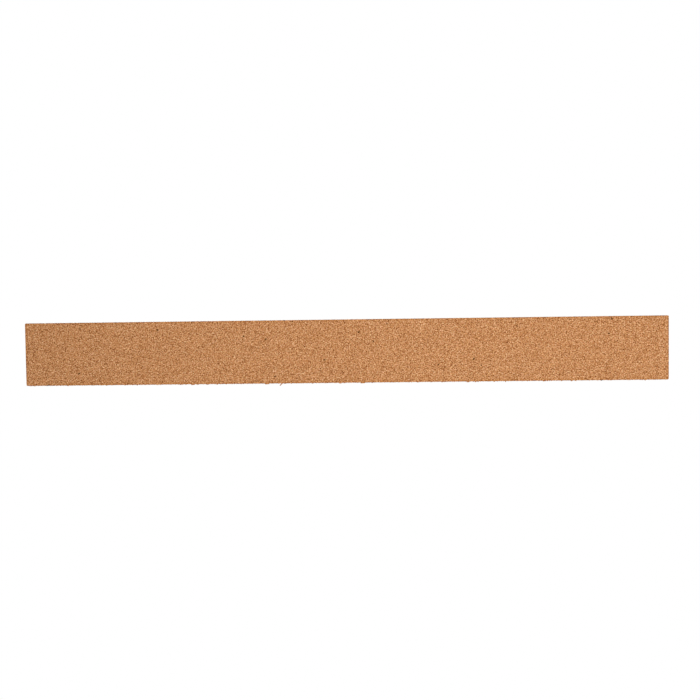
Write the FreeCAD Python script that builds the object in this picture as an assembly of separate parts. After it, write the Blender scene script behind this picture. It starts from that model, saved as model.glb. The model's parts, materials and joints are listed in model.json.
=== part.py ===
"""Cork-backed steel ruler, 12 inches long, with an inch scale and a centimetre scale.

The ruler lies flat as it is used: the cork is underneath, the engraved face is on top.
Origin: the middle of the cork's underside.  +X runs from the zero end to the far end,
+Y points to the edge that carries the inch scale, +Z points out of the engraved face.
All sizes are in millimetres.

Layers from the bottom up: cork backing, adhesive film, steel blade.  The graduations and
numerals are shallow grooves etched in the blade, each filled with its own piece of paint.
"""
import FreeCAD
import Part
import math
import os
from FreeCAD import Vector

INCH = 25.4

# Blade
blade_length = 12 * INCH
blade_width = 30.0
blade_thickness = 1.0
corner_radius = 0.5         # seen from above, on all three layers
smallest_radius = 0.12      # for the corners of a layer that is set back
edge_break = 0.12           # chamfer round the engraved face

# Backing
cork_thickness = 1.4
adhesive_thickness = 0.10
adhesive_setback = 0.25     # the film stops this far inside the blade's outline

# Etching
etch_depth = 0.08
fill_recess = 0.02          # the paint dries this far below the steel face
line_width = 0.20
line_clearance = 0.18       # steel left between the chamfer and the start of a line
cutter_overshoot = 1.0      # how far the etching's cutters reach past the steel face

# Centimetre scale, along the -Y edge
mm_line = 3.6
five_mm_line = 5.0
cm_line = 6.6
cm_numeral_height = 2.6

# Inch scale, along the +Y edge
sixteenth_line = 3.2
eighth_line = 4.2
quarter_line = 5.2
half_inch_line = 6.4
inch_line = 8.6
inch_numeral_height = 3.4
sixteenths_per_inch = 16
rounding = 1e-6             # keeps the last division of a length that is a whole number of them

# Lettering
stroke_share = 0.13         # stroke width, as a share of the numeral's height
letter_gap_share = 0.26     # space between the centre lines of two characters, same unit
numeral_gap = 0.7           # between a line and its numeral
numeral_clearance = 1.0     # between the short inch lines and the numerals below them
unit_height = 2.4           # height the unit names are drawn to
unit_indent = 2.2           # from the zero end to the unit names

# Heights of the layers
cork_top = cork_thickness
blade_bottom = cork_top + adhesive_thickness
blade_top = blade_bottom + blade_thickness
etch_floor = blade_top - etch_depth

# Where the lines start, from the blade's edge
line_setback = edge_break + line_clearance

# Ends and edges
zero_end = -blade_length / 2
far_end = blade_length / 2
cm_edge = -blade_width / 2
inch_edge = blade_width / 2


# ---------------------------------------------------------------- plates

def rounded_plate(inset, bottom, thickness):
    """A flat plate with the blade's outline, moved inwards by inset."""
    length = blade_length - 2 * inset
    width = blade_width - 2 * inset
    radius = max(corner_radius - inset, smallest_radius)
    plate = Part.makeBox(length, width, thickness, Vector(-length / 2, -width / 2, bottom))
    upright = [e for e in plate.Edges if abs(e.tangentAt(e.FirstParameter).z) > 0.5]
    return plate.makeFillet(radius, upright)


def steel_plate():
    """The blade before etching, with its top outline chamfered."""
    plate = rounded_plate(0, blade_bottom, blade_thickness)
    rim = [e for e in plate.Edges if min(v.Z for v in e.Vertexes) > blade_top - edge_break]
    return plate.makeChamfer(edge_break, rim)


# ---------------------------------------------------------------- character strokes
# A character is its width and its strokes, on a centre line one unit high.
# ("line", start, end) or ("arc", centre, radius, from, to), with angles in degrees

BOWL = 0.28                 # radius of the full bowl, half the width of most figures
FIGURE = 2 * BOWL


def ring(centre, radius):
    """A closed loop, as two arcs that meet."""
    return [("arc", centre, radius, 0, 180), ("arc", centre, radius, 180, 360)]


def turned(arcs):
    """The same arcs after half a turn, which makes a 9 from a 6."""
    return [("arc", (FIGURE - x, 1 - y), radius, start + 180, end + 180)
            for _, (x, y), radius, start, end in arcs]


SIX = ring((BOWL, BOWL), BOWL) + [("arc", (0.827, BOWL), 0.827, 119.5, 180)]

CHARACTERS = {
    "0": (FIGURE, [("arc", (BOWL, 1 - BOWL), BOWL, 0, 180), ("arc", (BOWL, BOWL), BOWL, 180, 360),
                   ("line", (0, BOWL), (0, 1 - BOWL)), ("line", (FIGURE, BOWL), (FIGURE, 1 - BOWL))]),
    "1": (0.22, [("line", (0, 0.8), (0.22, 1)), ("line", (0.22, 0), (0.22, 1))]),
    "2": (FIGURE, [("arc", (BOWL, 1 - BOWL), BOWL, -42, 170), ("line", (0.488, 0.533), (0, 0)),
                   ("line", (0, 0), (FIGURE, 0))]),
    "3": (0.54, [("arc", (0.27, 0.77), 0.23, -90, 155), ("arc", (0.27, 0.27), 0.27, -155, 90)]),
    "4": (FIGURE, [("line", (0.42, 0), (0.42, 1)), ("line", (0.42, 1), (0, 0.3)),
                   ("line", (0, 0.3), (FIGURE, 0.3))]),
    "5": (0.54, [("line", (0.5, 1), (0.08, 1)), ("line", (0.08, 1), (0.04, 0.505)),
                 ("arc", (0.26, 0.3), 0.3, -145, 137)]),
    "6": (FIGURE, SIX),
    "7": (0.52, [("line", (0, 1), (0.52, 1)), ("line", (0.52, 1), (0.16, 0))]),
    "8": (0.54, ring((0.27, 0.765), 0.235) + ring((0.27, 0.27), 0.27)),
    "9": (FIGURE, turned(SIX)),
    "c": (0.44, [("arc", (0.25, 0.25), 0.25, 42, 318)]),
    "i": (0.0, [("line", (0, 0), (0, 0.5)), ("line", (0, 0.72), (0, 0.73))]),
    "m": (0.60, [("line", (0, 0), (0, 0.5)), ("arc", (0.15, 0.35), 0.15, 0, 180),
                 ("line", (0.3, 0), (0.3, 0.35)), ("arc", (0.45, 0.35), 0.15, 0, 180),
                 ("line", (0.6, 0), (0.6, 0.35))]),
    "n": (0.38, [("line", (0, 0), (0, 0.5)), ("arc", (0.19, 0.31), 0.19, 0, 180),
                 ("line", (0.38, 0), (0.38, 0.31))]),
}


def on_circle(centre, radius, degrees):
    angle = math.radians(degrees)
    return centre + Vector(radius * math.cos(angle), radius * math.sin(angle), 0)


def arc_edge(centre, radius, start, end):
    """The edge of a circle from the angle start to the angle end."""
    points = [on_circle(centre, radius, a) for a in (start, (start + end) / 2, end)]
    return Part.Arc(*points).toShape()


def line_stroke(start, end, half):
    """A straight stroke with round ends."""
    lean = math.degrees(math.atan2(end.y - start.y, end.x - start.x))
    left, right = lean + 90, lean - 90
    return Part.Face(Part.Wire([
        Part.makeLine(on_circle(start, half, right), on_circle(end, half, right)),
        arc_edge(end, half, right, left),
        Part.makeLine(on_circle(end, half, left), on_circle(start, half, left)),
        arc_edge(start, half, left, left + 180),
    ]))


def arc_stroke(centre, radius, start, end, half):
    """A stroke that follows a circle, with round ends."""
    first = on_circle(centre, radius, start)
    last = on_circle(centre, radius, end)
    return Part.Face(Part.Wire([
        arc_edge(centre, radius + half, start, end),
        arc_edge(last, half, end, end + 180),
        arc_edge(centre, radius - half, end, start),
        arc_edge(first, half, start + 180, start + 360),
    ]))


def character_face(strokes, height):
    """One character as a flat face in the XY plane, its lower left corner near the origin."""
    half = stroke_share * height / 2
    rise = height - 2 * half

    def place(point):
        return Vector(half + point[0] * rise, half + point[1] * rise, 0)

    faces = []
    for kind, first, *rest in strokes:
        if kind == "line":
            faces.append(line_stroke(place(first), place(rest[0]), half))
        else:
            faces.append(arc_stroke(place(first), rest[0] * rise, rest[1], rest[2], half))
    joined = faces[0].multiFuse(faces[1:]) if len(faces) > 1 else faces[0]
    return joined.removeSplitter()


drawn = {}


def character(name, height):
    """The face of a character, drawn once for each height it is used at."""
    if (name, height) not in drawn:
        drawn[name, height] = character_face(CHARACTERS[name][1], height)
    return drawn[name, height]


def text_width(text, height):
    rise = height * (1 - stroke_share)
    shares = sum(CHARACTERS[c][0] for c in text) + letter_gap_share * (len(text) - 1)
    return shares * rise + stroke_share * height


def text_faces(text, height, left, bottom):
    """The faces of a word or number, placed by its lower left corner."""
    rise = height * (1 - stroke_share)
    faces = []
    for name in text:
        face = character(name, height).copy()
        face.translate(Vector(left, bottom, 0))
        faces.append(face)
        left += (CHARACTERS[name][0] + letter_gap_share) * rise
    return faces


# ---------------------------------------------------------------- scales

def graduation(x, edge, length):
    """A line across the blade at x, running inwards from one edge."""
    inwards = -1 if edge > 0 else 1
    near = edge + inwards * line_setback
    far = near + inwards * length
    return Part.makePlane(line_width, abs(far - near), Vector(x - line_width / 2, min(near, far), 0))


def line_fits(x):
    """Whether a line at x keeps clear of both ends of the blade."""
    clear = line_setback + line_width / 2
    return zero_end + clear < x < far_end - clear


def centimetre_scale():
    """The faces of the centimetre scale, by the name of the piece they make."""
    faces = {"mm_line_fill": [], "five_mm_line_fill": [], "cm_line_fill": [], "cm_numeral_fill": []}
    last_mm = 10 * math.floor((blade_length - line_setback) / 10)
    for mm in range(1, last_mm + 1):
        x = zero_end + mm
        if not line_fits(x):
            continue
        if mm % 10 == 0:
            faces["cm_line_fill"].append(graduation(x, cm_edge, cm_line))
        elif mm % 5 == 0:
            faces["five_mm_line_fill"].append(graduation(x, cm_edge, five_mm_line))
        else:
            faces["mm_line_fill"].append(graduation(x, cm_edge, mm_line))
    bottom = cm_edge + line_setback + cm_line + numeral_gap
    for cm in range(1, last_mm // 10 + 1):
        left = zero_end + 10 * cm - text_width(str(cm), cm_numeral_height) / 2
        faces["cm_numeral_fill"] += text_faces(str(cm), cm_numeral_height, left, bottom)
    faces["cm_name_fill"] = text_faces("cm", unit_height, zero_end + unit_indent, bottom)
    return faces


def inch_scale():
    """The faces of the inch scale, by the name of the piece they make."""
    sorts = [
        (sixteenths_per_inch, "inch_line_fill", inch_line),
        (sixteenths_per_inch // 2, "half_inch_line_fill", half_inch_line),
        (sixteenths_per_inch // 4, "quarter_inch_line_fill", quarter_line),
        (sixteenths_per_inch // 8, "eighth_inch_line_fill", eighth_line),
        (1, "sixteenth_inch_line_fill", sixteenth_line),
    ]
    faces = {name: [] for _, name, _ in sorts} | {"inch_numeral_fill": []}
    sixteenth = INCH / sixteenths_per_inch
    last_step = math.floor(blade_length / sixteenth + rounding)
    bottom = inch_edge - line_setback - eighth_line - numeral_clearance - inch_numeral_height
    for step in range(1, last_step + 1):
        x = zero_end + step * sixteenth
        if line_fits(x):
            name, length = next((n, l) for divisor, n, l in sorts if step % divisor == 0)
            faces[name].append(graduation(x, inch_edge, length))
        if step % sixteenths_per_inch == 0:
            number = str(step // sixteenths_per_inch)
            left = x - numeral_gap - text_width(number, inch_numeral_height)
            faces["inch_numeral_fill"] += text_faces(number, inch_numeral_height, left, bottom)
    faces["inch_name_fill"] = text_faces("in", unit_height, zero_end + unit_indent, bottom)
    return faces


# ---------------------------------------------------------------- the pieces

def etched(faces, height):
    """Solids that rise from the floor of the etching by height."""
    solids = []
    for face in faces:
        solid = face.extrude(Vector(0, 0, height))
        solid.translate(Vector(0, 0, etch_floor))
        solids += solid.Solids
    return solids


def main():
    scales = centimetre_scale() | inch_scale()
    cutters = [s for faces in scales.values() for s in etched(faces, etch_depth + cutter_overshoot)]
    pieces = {
        "steel_blade": [steel_plate().cut(cutters)],
        "adhesive_film": [rounded_plate(adhesive_setback, cork_top, adhesive_thickness)],
        "cork_backing": [rounded_plate(0, 0, cork_thickness)],
    }
    for name, faces in scales.items():
        pieces[name] = etched(faces, etch_depth - fill_recess)
    os.makedirs("parts", exist_ok=True)
    for name, shapes in pieces.items():
        solids = [s for shape in shapes for s in shape.Solids]
        Part.makeCompound(solids).exportStep(f"parts/{name}.step")
        volume = sum(s.Volume for s in solids)
        print(f"{name}: {len(solids)} solids, {volume:.3f} mm3, valid {all(s.isValid() for s in solids)}")


main()
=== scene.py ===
# %% [markdown]
# # A steel ruler with a cork backing
# This script dresses a ruler that was designed elsewhere.  The design arrives as a frame: steel
# blade, adhesive, cork and the paint in each engraved line, all at their real size and place.
# Blender adds what a drawing leaves out: the granules of the cork, the brushed grain of the
# steel, wear and light.  Everything is in metres, with the ruler lying cork down on z = 0.

# %% Load the frame
import json
import math

import bmesh
import bpy
from mathutils import Matrix, Vector

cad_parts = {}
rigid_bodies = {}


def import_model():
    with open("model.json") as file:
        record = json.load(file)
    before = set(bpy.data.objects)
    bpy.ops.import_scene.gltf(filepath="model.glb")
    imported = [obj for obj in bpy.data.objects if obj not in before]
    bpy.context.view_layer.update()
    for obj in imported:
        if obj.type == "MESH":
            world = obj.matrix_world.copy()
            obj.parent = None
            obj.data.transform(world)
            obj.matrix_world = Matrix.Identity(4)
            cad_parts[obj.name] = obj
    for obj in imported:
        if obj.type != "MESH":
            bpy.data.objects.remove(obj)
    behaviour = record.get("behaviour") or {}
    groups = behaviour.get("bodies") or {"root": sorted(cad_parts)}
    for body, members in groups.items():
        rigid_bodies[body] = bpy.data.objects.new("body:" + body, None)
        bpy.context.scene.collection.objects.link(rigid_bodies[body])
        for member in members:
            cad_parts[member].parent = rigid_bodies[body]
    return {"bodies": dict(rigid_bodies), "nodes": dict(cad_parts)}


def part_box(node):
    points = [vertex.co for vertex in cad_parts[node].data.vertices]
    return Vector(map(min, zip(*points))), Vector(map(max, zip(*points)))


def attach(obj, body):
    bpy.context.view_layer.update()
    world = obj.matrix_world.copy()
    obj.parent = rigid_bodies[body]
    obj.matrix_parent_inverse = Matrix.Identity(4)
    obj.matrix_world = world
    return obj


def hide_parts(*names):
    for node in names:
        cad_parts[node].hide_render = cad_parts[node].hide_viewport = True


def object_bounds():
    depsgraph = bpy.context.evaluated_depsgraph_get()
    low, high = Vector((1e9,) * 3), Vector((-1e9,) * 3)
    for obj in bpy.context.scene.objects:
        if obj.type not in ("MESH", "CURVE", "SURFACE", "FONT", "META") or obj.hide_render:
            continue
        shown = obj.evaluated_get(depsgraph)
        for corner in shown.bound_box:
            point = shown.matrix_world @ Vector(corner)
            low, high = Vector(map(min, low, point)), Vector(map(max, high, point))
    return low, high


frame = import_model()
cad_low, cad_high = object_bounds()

MM = 0.001
body = next(iter(frame["bodies"]))
print("nodes:", ", ".join(sorted(frame["nodes"])))
print("size in mm:", [round(v / MM, 3) for v in cad_high - cad_low])

# %% [markdown]
# ## The sizes everything else is worked out from
# The frame knows where each layer starts and stops, so no size is typed in twice.

# %% Read the layers from the frame
cork_low, cork_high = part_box("cork_backing")
blade_low, blade_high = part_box("steel_blade")
length = cork_high.x - cork_low.x
width = cork_high.y - cork_low.y
cork_thickness = cork_high.z - cork_low.z
print(f"cork {length / MM:.1f} x {width / MM:.1f} x {cork_thickness / MM:.1f} mm")

# %% [markdown]
# ## The camera
# The view is of the ruler's back, so the camera is underneath and looks up at the cork.  It
# stands a little to one side of the middle, which makes the strip taper slightly.  A camera is
# built from three directions at right angles: where it looks, what is up, and what is right.

# %% Place the camera
camera_place = Vector((0.0211, -0.0185, -0.4544))
camera_aim = Vector((0.0033, -0.0005, 0.0))
camera_roll = math.radians(0.75)
field_of_view = math.radians(40)

forward = (camera_aim - camera_place).normalized()
up_hint = Vector((math.sin(camera_roll), -math.cos(camera_roll), 0))
right = forward.cross(up_hint).normalized()
up = right.cross(forward)
camera_data = bpy.data.cameras.new("camera")
camera_data.lens_unit = "FOV"
camera_data.angle = field_of_view
camera = bpy.data.objects.new("camera", camera_data)
camera_turn = Matrix((right, up, -forward)).transposed().to_4x4()
camera.matrix_world = Matrix.Translation(camera_place) @ camera_turn
bpy.context.scene.collection.objects.link(camera)
bpy.context.scene.camera = camera
bpy.context.scene.view_settings.view_transform = "Standard"
print("camera looks", [round(v, 3) for v in forward])

# %% [markdown]
# ## Helpers for node trees
# Shader and geometry trees are built the same way: make a node, set its options, and give each
# input either a value or the output of another node.  One short function does all three, and a
# few shorter ones stand for the nodes that come up again and again.

# %% Make and wire a node
def node(tree, kind, inputs=None, **options):
    """A new node.  Inputs are by name or number, and each is a value or another node's output."""
    made = tree.nodes.new(kind)
    for name, value in options.items():
        setattr(made, name, value)
    for key, value in (inputs or {}).items():
        socket = made.inputs[key]
        if isinstance(value, bpy.types.NodeSocket):
            tree.links.new(value, socket)
        else:
            socket.default_value = value
    return made


def maths(tree, operation, *values, clamp=False):
    """The result of a Math node in a shader or geometry tree."""
    inputs = dict(enumerate(values))
    return node(tree, "ShaderNodeMath", inputs, operation=operation, use_clamp=clamp).outputs[0]


def vector_maths(tree, operation, *values):
    """The same for whole vectors."""
    inputs = dict(enumerate(values))
    return node(tree, "ShaderNodeVectorMath", inputs, operation=operation).outputs[0]


def scaled(tree, vector, factor):
    """A vector times a number."""
    inputs = {0: vector, "Scale": factor}
    return node(tree, "ShaderNodeVectorMath", inputs, operation="SCALE").outputs[0]


def axes(tree, vector):
    """The X, Y and Z of a vector, by name."""
    return node(tree, "ShaderNodeSeparateXYZ", {0: vector}).outputs


def from_axes(tree, x=0.0, y=0.0, z=0.0):
    """A vector made of three numbers."""
    return node(tree, "ShaderNodeCombineXYZ", {0: x, 1: y, 2: z}).outputs[0]


def ramp(tree, factor, stops):
    """A colour ramp.  Each stop is a place from 0 to 1 and a grey or a colour."""
    made = node(tree, "ShaderNodeValToRGB", {"Fac": factor})
    elements = made.color_ramp.elements
    while len(elements) < len(stops):
        elements.new(0.5)
    for element, (place, colour) in zip(elements, stops):
        element.position = place
        element.color = (colour, colour, colour, 1) if isinstance(colour, float) else (*colour, 1)
    return made.outputs["Color"]


def mix(tree, factor, first, second, blend="MIX"):
    """One colour over another."""
    made = tree.nodes.new("ShaderNodeMix")
    made.data_type = "RGBA"
    made.blend_type = blend
    for key, value in ((0, factor), (6, first), (7, second)):
        if isinstance(value, bpy.types.NodeSocket):
            tree.links.new(value, made.inputs[key])
        else:
            made.inputs[key].default_value = (*value, 1) if key > 0 and len(value) == 3 else value
    return made.outputs[2]


def group_tree(kind, name, inputs, outputs):
    """An empty group with named sockets.  Returns the tree, its inputs and its output node."""
    tree = bpy.data.node_groups.new(name, kind)
    for title, socket, value in inputs:
        made = tree.interface.new_socket(title, in_out="INPUT", socket_type=socket)
        if value is not None:
            made.default_value = value
    for title, socket in outputs:
        tree.interface.new_socket(title, in_out="OUTPUT", socket_type=socket)
    return tree, tree.nodes.new("NodeGroupInput").outputs, tree.nodes.new("NodeGroupOutput").inputs


# %% [markdown]
# ## The floor, the background and the lamps
# A floor under the ruler would hide its back from a camera that looks up.  So the floor is
# solid only where it is seen from above, and lamps shine through it.  To the camera the
# background is white overhead and has the floor's own tone at the horizon, so no line shows where
# the floor ends.  To the steel it is a room, bright overhead and greyer low down, because
# polished metal only looks like metal when it has something darker to reflect.

# %% Make the floor
floor_size = 24.0
floor_gap = 0.1 * MM
floor_grey = (0.80, 0.80, 0.80, 1)
floor_tone = 0.875

floor_mesh = bpy.data.meshes.new("floor")
half = floor_size / 2
floor_z = cad_low.z - floor_gap
floor_outline = [(-half, -half), (half, -half), (half, half), (-half, half)]
floor_corners = [(x, y, floor_z) for x, y in floor_outline]
floor_mesh.from_pydata(floor_corners, [], [(0, 1, 2, 3)])
floor = bpy.data.objects.new("floor", floor_mesh)
bpy.context.scene.collection.objects.link(floor)
floor_paint = bpy.data.materials.new("floor_paint")
floor_paint.use_nodes = True
tree = floor_paint.node_tree
tree.nodes.clear()
path = node(tree, "ShaderNodeLightPath").outputs
behind = node(tree, "ShaderNodeNewGeometry").outputs["Backfacing"]
seen = maths(tree, "MAXIMUM", path["Is Camera Ray"], path["Is Glossy Ray"])
solid = maths(tree, "MULTIPLY", seen, maths(tree, "SUBTRACT", 1.0, behind))
clear = node(tree, "ShaderNodeBsdfTransparent").outputs[0]
matt = node(tree, "ShaderNodeBsdfDiffuse", {"Color": floor_grey}).outputs[0]
surface = node(tree, "ShaderNodeMixShader", {0: solid, 1: clear, 2: matt}).outputs[0]
node(tree, "ShaderNodeOutputMaterial", {"Surface": surface})
floor_mesh.materials.append(floor_paint)

# %% Make the background
# A stop is a height, 0 straight down, 0.5 at the horizon and 1 overhead, and the tone there.
room_stops = [(0.0, 0.42), (0.52, 0.42), (0.62, 0.50), (0.72, 0.68), (0.85, 0.78), (1.0, 0.85)]
seen_stops = [(0.50, floor_tone), (0.75, 1.0)]

world = bpy.data.worlds.new("studio")
bpy.context.scene.world = world
world.use_nodes = True
tree = world.node_tree
tree.nodes.clear()
direction = node(tree, "ShaderNodeTexCoord").outputs["Generated"]
climb = maths(tree, "MULTIPLY_ADD", axes(tree, direction)["Z"], 0.5, 0.5)
room = ramp(tree, climb, room_stops)
seen_room = ramp(tree, climb, seen_stops)
is_seen = node(tree, "ShaderNodeLightPath").outputs["Is Camera Ray"]
shown = mix(tree, is_seen, room, seen_room)
background = node(tree, "ShaderNodeBackground", {"Color": shown}).outputs[0]
node(tree, "ShaderNodeOutputWorld", {"Surface": background})

# %% Hang the lamps
def softbox(name, place, aim, size, watts):
    """A rectangular soft lamp that the camera doesn't see."""
    data = bpy.data.lights.new(name, "AREA")
    data.shape = "RECTANGLE"
    data.size, data.size_y = size
    data.energy = watts
    lamp = bpy.data.objects.new(name, data)
    lamp.location = place
    lamp.rotation_mode = "QUATERNION"
    lamp.rotation_quaternion = (Vector(aim) - Vector(place)).to_track_quat("-Z", "Y")
    lamp.visible_camera = False
    bpy.context.scene.collection.objects.link(lamp)


def skylight(name, direction, spread, strength):
    """A broad lamp so far away that it lights the whole floor evenly."""
    data = bpy.data.lights.new(name, "SUN")
    data.angle = math.radians(spread)
    data.energy = strength
    lamp = bpy.data.objects.new(name, data)
    lamp.rotation_mode = "QUATERNION"
    lamp.rotation_quaternion = (-Vector(direction)).to_track_quat("-Z", "Y")
    bpy.context.scene.collection.objects.link(lamp)


lamp_x = 0.090
lamp_drop = 0.48
lamp_size = (0.35, 0.35)
skylight("key_above", direction=(-0.35, -0.45, 0.82), spread=30, strength=1.35)
softbox("key_below", place=(lamp_x, 0, -lamp_drop), aim=(lamp_x, 0, 0), size=lamp_size, watts=2.27)

# %% [markdown]
# ## Where the edges are
# Handling changes edges first, and on steel they shine.  On cork the edges get a painted shade.
# A worn edge could be painted by hand, but a ruler's outline is a plain rectangle, so a mask can
# be worked out from the place alone: 1 at the outline, fading to 0 a little way in.  Cork and
# steel both use it, so it is a group with named inputs.

# %% Make the shared group for edges
def in_mm(tree):
    """The place on a piece in millimetres, from its own coordinates."""
    place = node(tree, "ShaderNodeTexCoord").outputs["Object"]
    return scaled(tree, place, 1 / MM)


def edge_group():
    tree, given, out = group_tree("ShaderNodeTree", "edge_band", [
        ("Length", "NodeSocketFloat", 300.0),
        ("Width", "NodeSocketFloat", 30.0),
        ("Band", "NodeSocketFloat", 0.4),
    ], [("Mask", "NodeSocketFloat")])
    place = axes(tree, in_mm(tree))

    def past(value, size):
        half = maths(tree, "DIVIDE", size, 2.0)
        return maths(tree, "SUBTRACT", maths(tree, "ABSOLUTE", value), half)

    past_end = past(place["X"], given["Length"])
    past_side = past(place["Y"], given["Width"])
    outside = maths(tree, "MAXIMUM", past_end, past_side)
    share = maths(tree, "ADD", maths(tree, "DIVIDE", outside, given["Band"]), 1.0, clamp=True)
    tree.links.new(share, out["Mask"])
    return tree


edge_band = edge_group()

# %% [markdown]
# ## Helpers for materials
# Every material starts from Blender's Principled shader.  What changes over a surface is wired
# into it: the base colour, the roughness, and a bump for relief too fine to model.  A value that
# is the same all over is set on the shader itself.

# %% Start, fill and wire a material
def new_material(name):
    """A material, its node tree and its Principled shader."""
    made = bpy.data.materials.new(name)
    made.use_nodes = True
    return made, made.node_tree, made.node_tree.nodes["Principled BSDF"]


def wire(tree, shader, outputs):
    """Links each named input of a shader to a node's output."""
    for title, output in outputs.items():
        tree.links.new(output, shader.inputs[title])


def placed(tree, group, inputs):
    """A shader group in a material, with this material's own values."""
    return node(tree, "ShaderNodeGroup", inputs, node_tree=group).outputs


def noise(tree, place, scale, detail):
    """Soft random blotches between 0 and 1."""
    inputs = {"Vector": place, "Scale": scale, "Detail": detail}
    return node(tree, "ShaderNodeTexNoise", inputs).outputs["Fac"]


def bump(tree, height, strength, depth):
    """A normal that leans as if the surface had this relief."""
    inputs = {"Height": height, "Strength": strength, "Distance": depth}
    return node(tree, "ShaderNodeBump", inputs).outputs[0]


# %% [markdown]
# ## The colour of cork
# Cork sheet is ground bark, pressed with a binder and sliced.  Each granule has its own brown,
# and here and there is a black speck of hard bark.  The gaps between granules are painted darker
# the deeper a point lies, which is painted shade.  The granules are modelled, and each carries a
# random tone from 0 to 1, so the colour follows the shape.  Finer flecks, too small to model, come
# from noises inside a shader group, which the cork and its crumbs share.  A last, slower noise
# turns the brown a little towards red or olive.

# %% Make the shared group for granules
cork_dark = (0.172, 0.044, 0.004)
cork_brown = (0.592, 0.266, 0.099)
cork_light = (0.87, 0.545, 0.315)
# The colour of the painted shade in the gaps between granules, reached at the bottom of a gap.
cork_gap_shade = (0.16, 0.05, 0.015)
cork_bark = (0.115, 0.045, 0.008)
olive_tint = (0.96, 1.0, 0.93)
red_tint = (1.0, 0.94, 0.975)
dark_fleck_drop = -0.3


def granule_group():
    tree, given, out = group_tree("ShaderNodeTree", "granules", [
        ("Tone", "NodeSocketFloat", 0.5),
        ("Tone Share", "NodeSocketFloat", 0.13),
        ("Gap", "NodeSocketFloat", 0.0),
        ("Gap Shade", "NodeSocketFloat", 0.44),
        ("Fleck Size", "NodeSocketFloat", 0.3),
        ("Fleck Share", "NodeSocketFloat", 0.46),
        ("Dark Flecks", "NodeSocketFloat", 0.05),
        ("Bark Size", "NodeSocketFloat", 0.75),
        ("Bark Share", "NodeSocketFloat", 0.0010),
        ("Mottle Size", "NodeSocketFloat", 0.56),
        ("Mottle Share", "NodeSocketFloat", 1.88),
        ("Hue Size", "NodeSocketFloat", 0.8),
    ], [("Color", "NodeSocketColor"), ("Height", "NodeSocketFloat")])
    place = in_mm(tree)

    def blotches(size, detail):
        return noise(tree, place, maths(tree, "DIVIDE", 1.0, size), detail)

    def around_zero(value, share):
        return maths(tree, "MULTIPLY", maths(tree, "SUBTRACT", value, 0.5), share)

    def cells(size):
        scale = maths(tree, "DIVIDE", 1.0, size)
        made = node(tree, "ShaderNodeTexVoronoi", {"Vector": place, "Scale": scale}).outputs
        value = node(tree, "ShaderNodeSeparateColor", {0: made["Color"]}).outputs[0]
        return value, made["Distance"]

    fleck, from_middle = cells(given["Fleck Size"])
    tone = maths(tree, "ADD", 0.5, around_zero(given["Tone"], given["Tone Share"]))
    tone = maths(tree, "ADD", tone, around_zero(fleck, given["Fleck Share"]))
    dark_fleck = maths(tree, "LESS_THAN", fleck, given["Dark Flecks"])
    tone = maths(tree, "MULTIPLY_ADD", dark_fleck, dark_fleck_drop, tone)
    mottle = around_zero(blotches(given["Mottle Size"], 1.0), given["Mottle Share"])
    tone = maths(tree, "ADD", tone, mottle, clamp=True)
    brown = ramp(tree, tone, [(0.0, cork_dark), (0.5, cork_brown), (1.0, cork_light)])
    tint = ramp(tree, blotches(given["Hue Size"], 0.0), [(0.3, olive_tint), (0.7, red_tint)])
    tinted = mix(tree, 1.0, brown, tint, "MULTIPLY")
    # Painted shade: the deeper a point lies in a gap, the more it is darkened.
    shade = maths(tree, "MULTIPLY", given["Gap"], given["Gap Shade"])
    shaded = mix(tree, shade, tinted, cork_gap_shade)
    bark = maths(tree, "LESS_THAN", cells(given["Bark Size"])[0], given["Bark Share"])
    specked = mix(tree, bark, shaded, cork_bark)
    tree.links.new(specked, out["Color"])
    tree.links.new(maths(tree, "SUBTRACT", 1.0, from_middle), out["Height"])
    return tree


granules = granule_group()

# %% [markdown]
# The cork's material reads each granule's tone and how deep a point lies in a gap.  Both are
# kept in the mesh when the sheet is grown, and the depth sets the painted shade in the gaps.  Cork
# is matt, so it gets a high roughness and little gloss.  Along its outline it is painted darker and
# more orange, a painted shade, which covers its cut sides and the crumbs in full.

# %% Make the cork's material
# Painted shade along the cork's outline: the colour is multiplied by this, fully at the edge.
edge_shade = (0.87, 0.77, 0.57)
edge_shade_band = 1.2


def cork_material():
    made, tree, shader = new_material("cork")
    tone = node(tree, "ShaderNodeAttribute", attribute_name="tone").outputs["Fac"]
    gap = node(tree, "ShaderNodeAttribute", attribute_name="gap").outputs["Fac"]
    grains = placed(tree, granules, {"Tone": tone, "Gap": gap})
    # Painted shade towards the outline, full on the cut sides and on the crumbs.
    edge = placed(tree, edge_band, {
        "Length": length / MM, "Width": width / MM, "Band": edge_shade_band})["Mask"]
    colour = mix(tree, edge, grains["Color"], edge_shade, "MULTIPLY")
    normal = bump(tree, grains["Height"], strength=0.35, depth=0.1 * MM)
    wire(tree, shader, {"Base Color": colour, "Normal": normal})
    shader.inputs["Roughness"].default_value = 0.9
    shader.inputs["Specular IOR Level"].default_value = 0.12
    return made


cork = cork_material()

# %% [markdown]
# ## The cork sheet
# Painting granules on a flat slab would look right from far away only.  Here each granule is a
# small raised polygon with sloping sides, and about 10,000 of them make the sheet.  That is too
# many to place by hand, so Geometry Nodes grow them: a loose triangle grid is turned into its
# dual, whose faces are the granules.  Each is pushed out and its top is shrunk, which leaves the
# gaps.  A few helpers for such trees come first.

# %% Helpers for geometry trees
def shifted(tree, mesh, offset, where=None):
    """The mesh with its points moved by an offset, all of them or only those chosen."""
    inputs = {"Geometry": mesh, "Offset": offset}
    if where is not None:
        inputs["Selection"] = where
    return node(tree, "GeometryNodeSetPosition", inputs).outputs[0]


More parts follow.
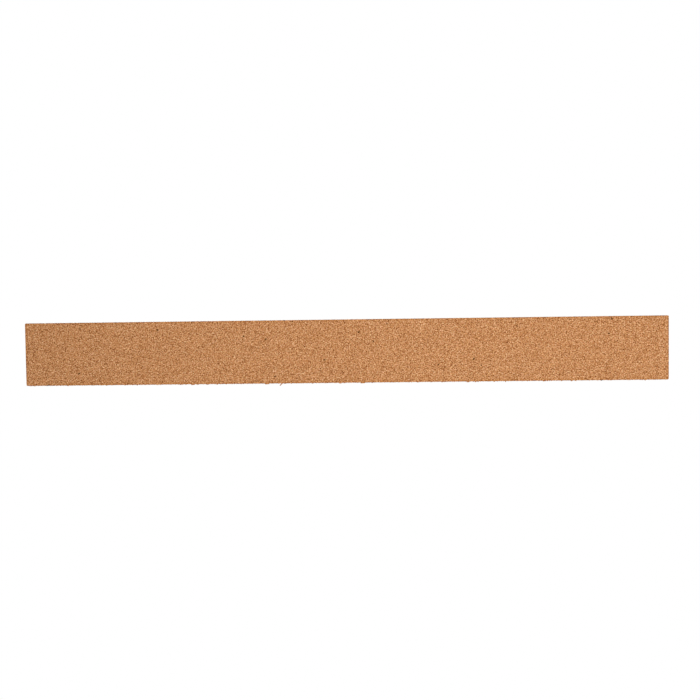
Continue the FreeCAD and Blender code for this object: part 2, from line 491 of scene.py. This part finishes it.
def random_between(tree, low, high, seed):
    """A random number, or a random vector when the limits are vectors."""
    if isinstance(low, tuple):
        inputs = {0: low, 1: high, "Seed": seed}
        return node(tree, "FunctionNodeRandomValue", inputs, data_type="FLOAT_VECTOR").outputs[0]
    inputs = {2: low, 3: high, "Seed": seed}
    return node(tree, "FunctionNodeRandomValue", inputs, data_type="FLOAT").outputs[1]


def stored(tree, mesh, name, value, domain):
    """The mesh with a number kept on each face or point, which a material can read by name."""
    inputs = {"Geometry": mesh, "Name": name, "Value": value}
    made = node(tree, "GeometryNodeStoreNamedAttribute", inputs, data_type="FLOAT", domain=domain)
    return made.outputs[0]


def hand_over(tree, mesh, material, out):
    """Ends a tree with real meshes instead of instances, and with their material."""
    real = node(tree, "GeometryNodeRealizeInstances", {0: mesh}).outputs[0]
    dressed = node(tree, "GeometryNodeSetMaterial", {"Geometry": real, "Material": material})
    tree.links.new(dressed.outputs[0], out["Mesh"])


# %% Grow the granules
raised_least = 0.45
raised_most = 0.9
unevenness = 0.1


def cork_sheet_group():
    tree, given, out = group_tree("GeometryNodeTree", "cork_sheet", [
        ("Sheet Length", "NodeSocketFloat", 0.3),
        ("Sheet Width", "NodeSocketFloat", 0.03),
        ("Columns", "NodeSocketInt", 100),
        ("Rows", "NodeSocketInt", 10),
        ("Grain", "NodeSocketFloat", 0.001),
        ("Jitter", "NodeSocketFloat", 0.4),
        ("Relief", "NodeSocketFloat", 0.0001),
        ("Raised Share", "NodeSocketFloat", 0.6),
        ("Top Scale", "NodeSocketFloat", 0.8),
        ("Seed", "NodeSocketInt", 1),
        ("Material", "NodeSocketMaterial", None),
    ], [("Mesh", "NodeSocketGeometry")])

    grid = node(tree, "GeometryNodeMeshGrid", {
        "Size X": given["Sheet Length"], "Size Y": given["Sheet Width"],
        "Vertices X": given["Columns"], "Vertices Y": given["Rows"]}).outputs["Mesh"]

    # Points on the rim stay put, so that the folded sheet ends in a straight edge.
    place = axes(tree, node(tree, "GeometryNodeInputPosition").outputs[0])
    margin = maths(tree, "MULTIPLY", given["Grain"], 0.5)

    def inside(value, size):
        limit = maths(tree, "SUBTRACT", maths(tree, "DIVIDE", size, 2.0), margin)
        return maths(tree, "LESS_THAN", maths(tree, "ABSOLUTE", value), limit)

    def seed(step):
        return maths(tree, "ADD", given["Seed"], float(step))

    free_length = inside(place["X"], given["Sheet Length"])
    free_width = inside(place["Y"], given["Sheet Width"])
    inner = maths(tree, "MULTIPLY", free_length, free_width)
    swing = maths(tree, "MULTIPLY", given["Grain"], given["Jitter"])
    shift = random_between(tree, (-1.0, -1.0, 0.0), (1.0, 1.0, 0.0), given["Seed"])
    loose = shifted(tree, grid, scaled(tree, shift, swing), where=inner)
    triangles = node(tree, "GeometryNodeTriangulate", {
        "Mesh": loose}, quad_method="SHORTEST_DIAGONAL").outputs[0]
    cells = node(tree, "GeometryNodeDualMesh", {
        "Mesh": triangles, "Keep Boundaries": True}).outputs[0]

    # Each cell gets its tone, and the chance to stand proud of its neighbours.
    tone = random_between(tree, 0.0, 1.0, seed(1))
    toned = stored(tree, cells, "tone", tone, "FACE")
    sunk = from_axes(tree, z=maths(tree, "MULTIPLY", given["Relief"], -1.0))
    lowered = shifted(tree, toned, sunk)
    chosen = node(tree, "FunctionNodeRandomValue", {
        "Probability": given["Raised Share"], "Seed": seed(2)}, data_type="BOOLEAN").outputs[3]
    share = random_between(tree, raised_least, raised_most, seed(3))
    height = maths(tree, "MULTIPLY", share, given["Relief"])
    raised = node(tree, "GeometryNodeExtrudeMesh", {
        "Mesh": lowered, "Selection": chosen,
        "Offset Scale": height, "Individual": True}, mode="FACES").outputs
    shrunk = node(tree, "GeometryNodeScaleElements", {
        "Geometry": raised["Mesh"], "Selection": raised["Top"],
        "Scale": given["Top Scale"]}).outputs[0]

    # A little unevenness tilts the granules, and never lifts them past the face.
    lift = random_between(tree, -unevenness, unevenness, seed(4))
    tilt = from_axes(tree, z=maths(tree, "MULTIPLY", lift, given["Relief"]))
    uneven = shifted(tree, shrunk, tilt)
    below = maths(tree, "MULTIPLY", place["Z"], -1.0)
    depth = maths(tree, "DIVIDE", below, given["Relief"], clamp=True)
    marked = stored(tree, uneven, "gap", depth, "POINT")
    hand_over(tree, marked, given["Material"], out)
    return tree


# %% [markdown]
# A Geometry Nodes tree runs as a modifier on an object.  Its inputs are set by the identifier
# that Blender gave each socket, and the result is read back as a plain mesh, after which the
# modifier isn't needed.

# %% Run a tree and keep its mesh
def grown(name, tree, values, start=None):
    """A plain mesh object, made by a geometry tree with these inputs from nothing or a mesh."""
    first = start or bpy.data.meshes.new(name + "_carrier")
    carrier = bpy.data.objects.new(name + "_carrier", first)
    bpy.context.scene.collection.objects.link(carrier)
    modifier = carrier.modifiers.new("nodes", "NODES")
    modifier.node_group = tree
    for socket in tree.interface.items_tree:
        if socket.in_out == "INPUT" and socket.name in values:
            modifier[socket.identifier] = values[socket.name]
    view = bpy.context.evaluated_depsgraph_get()
    mesh = bpy.data.meshes.new_from_object(carrier.evaluated_get(view), depsgraph=view)
    mesh.name = name
    bpy.data.objects.remove(carrier)
    made = bpy.data.objects.new(name, mesh)
    bpy.context.scene.collection.objects.link(made)
    return made


grain = 1.0 * MM
jitter = 0.42
relief = 0.12 * MM
top_scale = 0.72
corner_radius = 0.5 * MM
edge_radius = 0.06 * MM

flat_run = corner_radius - edge_radius
arc_length = edge_radius * math.pi / 2
travel = flat_run + arc_length + cork_thickness - edge_radius
core_length = length - 2 * corner_radius
core_width = width - 2 * corner_radius
sheet_length = core_length + 2 * travel
sheet_width = core_width + 2 * travel
columns = round(sheet_length / grain) + 1
lanes = round(sheet_width / grain) + 1
flat_sheet = grown("flat_sheet", cork_sheet_group(), {
    "Sheet Length": sheet_length, "Sheet Width": sheet_width,
    "Columns": columns, "Rows": lanes,
    "Grain": grain, "Jitter": jitter, "Relief": relief,
    "Raised Share": 1.0, "Top Scale": top_scale, "Seed": 7, "Material": cork})
print("granules on the flat sheet:", columns * lanes)

# %% [markdown]
# The cork covers a block's face and its four cut sides, and the granules should run on over the
# edge without a seam.  So the flat sheet is folded, as gift wrap is.  A point's place on the sheet
# says how far it has travelled past the block's core: first flat, then round a small arc, and then
# up the side.  At the corners the same rule gives a rounded corner.

# %% Fold a flat sheet round the edges of a block
def fold_group():
    tree, given, out = group_tree("GeometryNodeTree", "fold_round_edges", [
        ("Sheet", "NodeSocketGeometry", None),
        ("Core Length", "NodeSocketFloat", 0.3),
        ("Core Width", "NodeSocketFloat", 0.03),
        ("Flat Run", "NodeSocketFloat", 0.0003),
        ("Edge Radius", "NodeSocketFloat", 0.0002),
        ("Cut Smoothness", "NodeSocketFloat", 0.88),
        ("Material", "NodeSocketMaterial", None),
    ], [("Mesh", "NodeSocketGeometry")])
    place = axes(tree, node(tree, "GeometryNodeInputPosition").outputs[0])

    def held(value, size):
        limit = maths(tree, "DIVIDE", size, 2.0)
        low = maths(tree, "MULTIPLY", limit, -1.0)
        return maths(tree, "MINIMUM", maths(tree, "MAXIMUM", value, low), limit)

    core_x = held(place["X"], given["Core Length"])
    core_y = held(place["Y"], given["Core Width"])
    over_x = maths(tree, "SUBTRACT", place["X"], core_x)
    over_y = maths(tree, "SUBTRACT", place["Y"], core_y)
    travel_x = maths(tree, "ABSOLUTE", over_x)
    travel_y = maths(tree, "ABSOLUTE", over_y)
    travel = maths(tree, "MAXIMUM", travel_x, travel_y)
    outwards = vector_maths(tree, "NORMALIZE", from_axes(tree, over_x, over_y))

    bend = maths(tree, "SUBTRACT", travel, given["Flat Run"])
    bend = maths(tree, "DIVIDE", bend, given["Edge Radius"])
    bend = maths(tree, "MINIMUM", maths(tree, "MAXIMUM", bend, 0.0), math.pi / 2)
    sine = maths(tree, "SINE", bend)
    cosine = maths(tree, "COSINE", bend)
    arc_length = maths(tree, "MULTIPLY", given["Edge Radius"], math.pi / 2)
    past_arc = maths(tree, "SUBTRACT", travel, maths(tree, "ADD", given["Flat Run"], arc_length))
    climb = maths(tree, "MAXIMUM", past_arc, 0.0)

    # The knife leaves the cut sides flatter than the face.
    smoothing = maths(tree, "SUBTRACT", 1.0, maths(tree, "MULTIPLY", sine, given["Cut Smoothness"]))
    arm = maths(tree, "ADD", given["Edge Radius"], maths(tree, "MULTIPLY", place["Z"], smoothing))
    flat = maths(tree, "MINIMUM", travel, given["Flat Run"])
    reach = maths(tree, "ADD", flat, maths(tree, "MULTIPLY", sine, arm))
    drop = maths(tree, "MULTIPLY", cosine, arm)
    rise = maths(tree, "SUBTRACT", maths(tree, "ADD", given["Edge Radius"], climb), drop)
    foot = from_axes(tree, core_x, core_y, rise)
    folded = vector_maths(tree, "ADD", foot, scaled(tree, outwards, reach))
    moved = node(tree, "GeometryNodeSetPosition", {"Geometry": given["Sheet"], "Position": folded})
    turned = node(tree, "GeometryNodeFlipFaces", {0: moved.outputs[0]})
    hand_over(tree, turned.outputs[0], given["Material"], out)
    return tree


# %% [markdown]
# A granule that lies across a fold would bend between its own corners and cut the edge off.  Card
# is scored before it is folded, and so is this sheet: it is cut in line with each fold, once where
# the arc starts and once where it ends.

# %% Score the sheet and fold it
snap = 0.002 * MM


def scored(mesh, runs):
    """Cuts the mesh along the lines at these distances outside the core, on all four sides."""
    shape = bmesh.new()
    shape.from_mesh(mesh)
    for facing, core in ((Vector((1, 0, 0)), core_length), (Vector((0, 1, 0)), core_width)):
        for side in (-1, 1):
            for run in runs:
                place = facing * side * (core / 2 + run)
                parts = shape.verts[:] + shape.edges[:] + shape.faces[:]
                bmesh.ops.bisect_plane(
                    shape, geom=parts, dist=snap, plane_co=place, plane_no=facing)
    shape.to_mesh(mesh)
    shape.free()
    return mesh


scored_sheet = scored(flat_sheet.data, (flat_run, flat_run + arc_length))
cork_sheet = grown("cork_sheet", fold_group(), {
    "Core Length": core_length, "Core Width": core_width,
    "Flat Run": flat_run, "Edge Radius": edge_radius, "Material": cork}, start=scored_sheet)
bpy.data.objects.remove(flat_sheet)

# %% Close the sheet's top
def close_top(piece):
    """Fills the open rim, which lies against the adhesive."""
    shape = bmesh.new()
    shape.from_mesh(piece.data)
    rim = [edge for edge in shape.edges if edge.is_boundary]
    bmesh.ops.holes_fill(shape, edges=rim, sides=0)
    open_edges = sum(edge.is_boundary for edge in shape.edges)
    volume = shape.calc_volume(signed=True)
    shape.to_mesh(piece.data)
    shape.free()
    triangles = sum(len(face.vertices) - 2 for face in piece.data.polygons)
    print(f"{piece.name}: {triangles} triangles, {open_edges} open edges")
    print(f"{piece.name}: {volume / MM ** 3:.0f} mm3")


close_top(cork_sheet)
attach(cork_sheet, body)
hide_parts("cork_backing")

# %% [markdown]
# ## Crumbs along the cut
# A knife doesn't cut cork cleanly: it tears granules at the edge, and some hang on.  One side was
# cut more roughly than the others, and one thread of bark hangs off it.  A crumb is a lumpy ball
# with 20 faces.  Geometry Nodes drop over a thousand of them along lines, each with its own size
# and turn, so a row of crumbs is a small group that the tree uses once for each line.

# %% Make one row of crumbs
crumb_faces = 20
dent = 0.3


def crumb_row_group():
    tree, given, out = group_tree("GeometryNodeTree", "crumb_row", [
        ("Start", "NodeSocketVector", (0.0, 0.0, 0.0)),
        ("End", "NodeSocketVector", (0.0, 0.0, 0.0)),
        ("Count", "NodeSocketInt", 10),
        ("Spread", "NodeSocketVector", (0.0, 0.0, 0.0)),
        ("Smallest", "NodeSocketFloat", 0.00005),
        ("Largest", "NodeSocketFloat", 0.0002),
        ("Seed", "NodeSocketInt", 1),
    ], [("Crumbs", "NodeSocketGeometry")])

    def seed(step):
        return maths(tree, "ADD", given["Seed"], float(step))

    def cube(half):
        return (half, half, half)

    line = node(tree, "GeometryNodeMeshLine", {
        "Count": given["Count"], "Start Location": given["Start"],
        "Offset": given["End"]}, mode="END_POINTS").outputs[0]
    way = random_between(tree, cube(-1.0), cube(1.0), seed(0))
    places = shifted(tree, line, vector_maths(tree, "MULTIPLY", way, given["Spread"]))

    ball = node(tree, "GeometryNodeMeshIcoSphere", {
        "Radius": 1.0, "Subdivisions": 1}).outputs["Mesh"]
    lump = shifted(tree, ball, random_between(tree, cube(-dent), cube(dent), seed(1)))
    turn = random_between(tree, cube(0.0), cube(math.tau), seed(2))
    size = random_between(tree, given["Smallest"], given["Largest"], seed(3))
    crumbs = node(tree, "GeometryNodeInstanceOnPoints", {
        "Points": places, "Instance": lump, "Rotation": turn, "Scale": size})
    tree.links.new(crumbs.outputs[0], out["Crumbs"])
    return tree


# %% Put the rows together
def crumbs_group(rows, material):
    tree, given, out = group_tree("GeometryNodeTree", "cork_crumbs", [
        ("Material", "NodeSocketMaterial", material),
    ], [("Mesh", "NodeSocketGeometry")])
    crumb_row = crumb_row_group()
    joined = tree.nodes.new("GeometryNodeJoinGeometry")
    for values in rows:
        made = node(tree, "GeometryNodeGroup", node_tree=crumb_row)
        for name, value in values.items():
            made.inputs[name].default_value = value
        tree.links.new(made.outputs[0], joined.inputs[0])

    # Once the crumbs are one mesh, a crumb is an island of it, and each island gets one tone.
    real = node(tree, "GeometryNodeRealizeInstances", {0: joined.outputs[0]})
    island = node(tree, "GeometryNodeInputMeshIsland").outputs["Island Index"]
    tone = node(tree, "FunctionNodeRandomValue", {
        "ID": island, "Seed": 5}, data_type="FLOAT").outputs[1]
    toned = stored(tree, real.outputs[0], "tone", tone, "POINT")
    hand_over(tree, toned, given["Material"], out)
    return tree


def row(start, end, count, spread, sizes, seed):
    """One line of crumbs, in millimetres.  The sizes are the smallest and largest radius."""
    return {
        "Start": Vector(start) * MM,
        "End": Vector(end) * MM,
        "Count": count,
        "Spread": Vector(spread) * MM,
        "Smallest": sizes[0] * MM,
        "Largest": sizes[1] * MM,
        "Seed": seed,
    }


# %% [markdown]
# Fine crumbs dust all four sides.  The rough side has a dense, coarser row at its foot as well, a
# few clusters where the knife tore granules out, some loose coarse ones, and the thread.

# %% Choose the rows
corner_room = 1.5
side_x = length / 2 / MM
side_y = width / 2 / MM
end_x = side_x - corner_room
end_y = side_y - corner_room


def along_side(y, z, count, spread, sizes, seed):
    """A row along one of the long sides."""
    return row((-end_x, y, z), (end_x, y, z), count, spread, sizes, seed)


def along_end(x, z, count, spread, sizes, seed):
    """A row along one of the short ends."""
    return row((x, -end_y, z), (x, end_y, z), count, spread, sizes, seed)


fine = (0.04, 0.11)
mixed = (0.05, 0.24)
coarse = (0.24, 0.44)
side_dust = (0.7, 0.03, 0.45)
end_dust = (0.03, 0.5, 0.45)
near_foot = 0.30
half_way = 0.60
near_top = 0.80

# A row has a side, a height, a number of crumbs, how far they stray, their sizes and a seed.
rows = [
    along_side(side_y, near_foot, 620, (0.3, 0.06, 0.06), mixed, 11),
    along_side(side_y, near_top, 200, side_dust, fine, 17),
    along_side(-side_y, half_way, 200, side_dust, fine, 23),
    along_end(-side_x, half_way, 40, end_dust, fine, 29),
    along_end(side_x, half_way, 40, end_dust, fine, 31),
]

# A tear has a place along the side and the radius of its largest crumb.
tears = [(-72.0, 0.48), (-65.0, 0.32), (-36.4, 0.60), (-1.5, 0.48),
         (9.3, 0.56), (59.0, 0.46), (94.5, 0.36)]
tear_y = side_y + 0.05
tear_z = cork_thickness / 2 / MM
tear_crumbs = 5
tear_stray = (0.2, 0.06, 0.03)
for number, (x, size) in enumerate(tears):
    start = (x - size, tear_y, tear_z)
    end = (x + size, tear_y, tear_z)
    rows.append(row(start, end, tear_crumbs, tear_stray, (0.5 * size, size), 41 + number))

# The thread is a short chain of crumbs that runs out from the side.
thread_start = (-29.2, side_y, 0.45)
thread_end = (-30.2, side_y + 1.0, 0.45)
thread_crumbs = 7
thread_stray = (0.05, 0.05, 0.05)
rows.append(row(thread_start, thread_end, thread_crumbs, thread_stray, (0.2, 0.32), 61))

# Loose crumbs may drift this far along the side, so their row stops short of the corners.
drift = 5.0
loose_crumbs = 44
loose_start = (drift - end_x, side_y, tear_z)
loose_end = (end_x - drift, side_y, tear_z)
rows.append(row(loose_start, loose_end, loose_crumbs, (drift, 0.05, 0.03), coarse, 71))

# %% Grow the crumbs
crumbs = grown("cork_crumbs", crumbs_group(rows, cork), {})
print("crumbs:", len(crumbs.data.polygons) // crumb_faces)
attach(crumbs, body)

# %% [markdown]
# ## Brushed grain
# Stainless strip is drawn through fine abrasive lengthwise, which leaves thousands of hairlines.
# They are too fine to model, and a picture of them would repeat.  A noise squeezed across the
# ruler and stretched along it gives the same streaks, and a broader and longer one gives the faint
# bands that a belt leaves where it presses harder.  The same noise, cut off near its top, leaves
# only a few deeper scratches, and turned, it gives the stray ones that knives and keys leave.
# Paint that was wiped along the steel carries the streaks too, so this is a group.

# %% Make the shared group for brushed grain
stray_turns = (0.45, -0.8, 1.3)
stray_length = 7.0
peak_limit = 0.85
peak_drop = 0.35
peak_sharpness = 12.0


def streak_group():
    tree, given, out = group_tree("ShaderNodeTree", "brushed_grain", [
        ("Streak Length", "NodeSocketFloat", 12.0),
        ("Streak Width", "NodeSocketFloat", 0.08),
        ("Band Length", "NodeSocketFloat", 90.0),
        ("Band Width", "NodeSocketFloat", 1.1),
        ("Band Share", "NodeSocketFloat", 0.35),
        ("Scratch Length", "NodeSocketFloat", 30.0),
        ("Scratch Width", "NodeSocketFloat", 0.12),
        ("Scratch Share", "NodeSocketFloat", 0.3),
        ("Stray Share", "NodeSocketFloat", 0.25),
    ], [("Grain", "NodeSocketFloat"), ("Scratch", "NodeSocketFloat")])
    place = in_mm(tree)

    def streaks(where, run, breadth, detail):
        along = maths(tree, "DIVIDE", 1.0, run)
        across = maths(tree, "DIVIDE", 1.0, breadth)
        squeezed = vector_maths(tree, "MULTIPLY", where, from_axes(tree, along, across, across))
        return noise(tree, squeezed, scale=1.0, detail=detail)

    def peaks(value, share):
        drop = maths(tree, "MULTIPLY", share, peak_drop)
        above = maths(tree, "SUBTRACT", value, maths(tree, "SUBTRACT", peak_limit, drop))
        return maths(tree, "MULTIPLY", above, peak_sharpness, clamp=True)

    scratch = streaks(place, given["Scratch Length"], given["Scratch Width"], 1.0)
    scratch = peaks(scratch, given["Scratch Share"])
    for turn in stray_turns:
        turned = node(tree, "ShaderNodeVectorRotate", {
            "Vector": place, "Angle": turn}, rotation_type="Z_AXIS").outputs[0]
        stray = streaks(turned, stray_length, given["Scratch Width"], 0.0)
        scratch = maths(tree, "MAXIMUM", scratch, peaks(stray, given["Stray Share"]))
    hairlines = streaks(place, given["Streak Length"], given["Streak Width"], 3.0)
    bands = streaks(place, given["Band Length"], given["Band Width"], 1.0)
    banded = node(tree, "ShaderNodeMix", {
        0: given["Band Share"], 2: hairlines, 3: bands}).outputs[0]
    tree.links.new(banded, out["Grain"])
    tree.links.new(scratch, out["Scratch"])
    return tree


brushed_grain = streak_group()

# %% [markdown]
# ## Finger marks
# A ruler is handled all day, and skin leaves dull patches on bright steel and on paint.  They show
# as a change of gloss far more than as a change of colour, so this group gives a mask that each
# material adds to its roughness.  The steel's colour changes a little with it too.

# %% Make the shared group for finger marks
def mark_group():
    tree, given, out = group_tree("ShaderNodeTree", "finger_marks", [
        ("Size", "NodeSocketFloat", 14.0),
        ("Softness", "NodeSocketFloat", 0.2),
    ], [("Mask", "NodeSocketFloat")])
    scale = maths(tree, "DIVIDE", 1.0, given["Size"])
    patches = node(tree, "ShaderNodeTexNoise", {
        "Vector": in_mm(tree), "Scale": scale, "Detail": 3.0,
        "Roughness": 0.6, "Distortion": 0.6}).outputs["Fac"]
    above = maths(tree, "SUBTRACT", patches, 0.5)
    mask = maths(tree, "DIVIDE", above, given["Softness"], clamp=True)
    tree.links.new(mask, out["Mask"])
    return tree


finger_marks = mark_group()

# %% [markdown]
# ## Brushed steel
# The blade keeps the shape that its drawing gave it, grooves and all, and only gets a finish.
# Steel is fully metallic, with a roughness that follows the grain.  The sheared sides have no
# brushed grain: there the shear left short upright lines, which the direction of the surface
# tells apart.  Edges are a little brighter, because sliding over paper and benches polishes them.

# %% Make the steel's material
steel_dark = (0.54, 0.545, 0.555)
steel_bright = (0.74, 0.745, 0.75)
steel_touched = (0.60, 0.595, 0.585)
steel_edge = (0.86, 0.86, 0.86)
polished_band = 0.25
shear_stretch = (9.0, 9.0, 0.8)
steep = 0.5

# How far scratches, finger marks and edges take the colour towards their own.
scratch_tint = 0.4
marks_tint = 0.5
edge_tint = 0.5

# The roughness of the steel, and what grain, finger marks and edges add to it.
steel_roughness = 0.22
grain_roughness = 0.22
marks_roughness = 0.18
edge_roughness = 0.04


def steel_material():
    made, tree, shader = new_material("brushed_steel")
    brushed = placed(tree, brushed_grain, {})
    marks = placed(tree, finger_marks, {})["Mask"]
    edge = placed(tree, edge_band, {
        "Length": (blade_high.x - blade_low.x) / MM,
        "Width": (blade_high.y - blade_low.y) / MM,
        "Band": polished_band})["Mask"]

    facing = axes(tree, node(tree, "ShaderNodeTexCoord").outputs["Normal"])["Z"]
    sheared = maths(tree, "LESS_THAN", maths(tree, "ABSOLUTE", facing), steep)
    upright = vector_maths(tree, "MULTIPLY", in_mm(tree), shear_stretch)
    shear = noise(tree, upright, scale=1.0, detail=2.0)
    grain = node(tree, "ShaderNodeMix", {0: sheared, 2: brushed["Grain"], 3: shear}).outputs[0]

    colour = ramp(tree, grain, [(0.25, steel_dark), (0.75, steel_bright)])
    scratched = maths(tree, "MULTIPLY", brushed["Scratch"], scratch_tint)
    colour = mix(tree, scratched, colour, steel_edge)
    colour = mix(tree, maths(tree, "MULTIPLY", marks, marks_tint), colour, steel_touched)
    colour = mix(tree, maths(tree, "MULTIPLY", edge, edge_tint), colour, steel_edge)
    rough = maths(tree, "MULTIPLY_ADD", grain, grain_roughness, steel_roughness)
    rough = maths(tree, "MULTIPLY_ADD", marks, marks_roughness, rough)
    rough = maths(tree, "MULTIPLY_ADD", edge, edge_roughness, rough)
    lines = maths(tree, "SUBTRACT", grain, maths(tree, "MULTIPLY", brushed["Scratch"], 0.5))
    normal = bump(tree, lines, strength=0.3, depth=0.01 * MM)
    wire(tree, shader, {"Base Color": colour, "Roughness": rough, "Normal": normal})
    shader.inputs["Metallic"].default_value = 1.0
    return made


def dress(name, material):
    """Gives a node of the frame a material."""
    piece = frame["nodes"][name]
    piece.data.materials.clear()
    piece.data.materials.append(material)


dress("steel_blade", steel_material())

# %% [markdown]
# ## Paint in the lines and figures
# The grooves were filled with thick black enamel and wiped level.  Dried enamel is not a flat
# black: it is a little uneven, the wiping left faint streaks along the ruler, and it is duller
# where fingers rub it.  Every groove's deposit is a solid of its own, and all share one material.

# %% Make the paint's material
enamel_black = (0.008, 0.008, 0.009)
enamel_scuffed = (0.034, 0.034, 0.036)
enamel_roughness = 0.42
skin_roughness = 0.25
rubbed_roughness = 0.12
scratch_scuff = 0.6
streak_scuff = 0.25


def paint_material():
    made, tree, shader = new_material("black_enamel")
    wiped = placed(tree, brushed_grain, {
        "Streak Length": 5.0, "Streak Width": 0.15,
        "Scratch Width": 0.2, "Scratch Share": 0.6, "Stray Share": 0.1})
    marks = placed(tree, finger_marks, {"Size": 9.0})["Mask"]
    skin = noise(tree, in_mm(tree), scale=5.0, detail=3.0)
    scuff = maths(tree, "MULTIPLY", wiped["Scratch"], scratch_scuff)
    scuff = maths(tree, "MULTIPLY_ADD", wiped["Grain"], streak_scuff, scuff)
    colour = mix(tree, scuff, enamel_black, enamel_scuffed)
    rough = maths(tree, "MULTIPLY_ADD", skin, skin_roughness, enamel_roughness)
    rough = maths(tree, "MULTIPLY_ADD", marks, rubbed_roughness, rough)
    normal = bump(tree, skin, strength=0.4, depth=0.02 * MM)
    wire(tree, shader, {"Base Color": colour, "Roughness": rough, "Normal": normal})
    shader.inputs["Specular IOR Level"].default_value = 0.3
    return made


black_enamel = paint_material()
fills = sorted(name for name in frame["nodes"] if name.endswith("_fill"))
for name in fills:
    dress(name, black_enamel)
print("painted:", ", ".join(fills))

# %% [markdown]
# ## The adhesive
# The cork is held by a thin film of contact adhesive, set back a little from the outline.  All
# that shows of it is an amber line between steel and cork, glossy, with small bubbles and here and
# there a duller patch.

# %% Make the adhesive's material
amber_dark = (0.28, 0.15, 0.045)
amber_light = (0.52, 0.34, 0.14)
amber_roughness = 0.22
dulled_roughness = 0.3


def adhesive_material():
    made, tree, shader = new_material("adhesive")
    cloud = noise(tree, in_mm(tree), scale=0.8, detail=4.0)
    bubbles = node(tree, "ShaderNodeTexVoronoi", {
        "Vector": in_mm(tree), "Scale": 2.5}).outputs["Distance"]
    marks = placed(tree, finger_marks, {"Size": 5.0})["Mask"]
    colour = ramp(tree, cloud, [(0.3, amber_dark), (0.7, amber_light)])
    rough = maths(tree, "MULTIPLY_ADD", marks, dulled_roughness, amber_roughness)
    normal = bump(tree, bubbles, strength=0.3, depth=0.02 * MM)
    wire(tree, shader, {"Base Color": colour, "Roughness": rough, "Normal": normal})
    return made


dress("adhesive_film", adhesive_material())
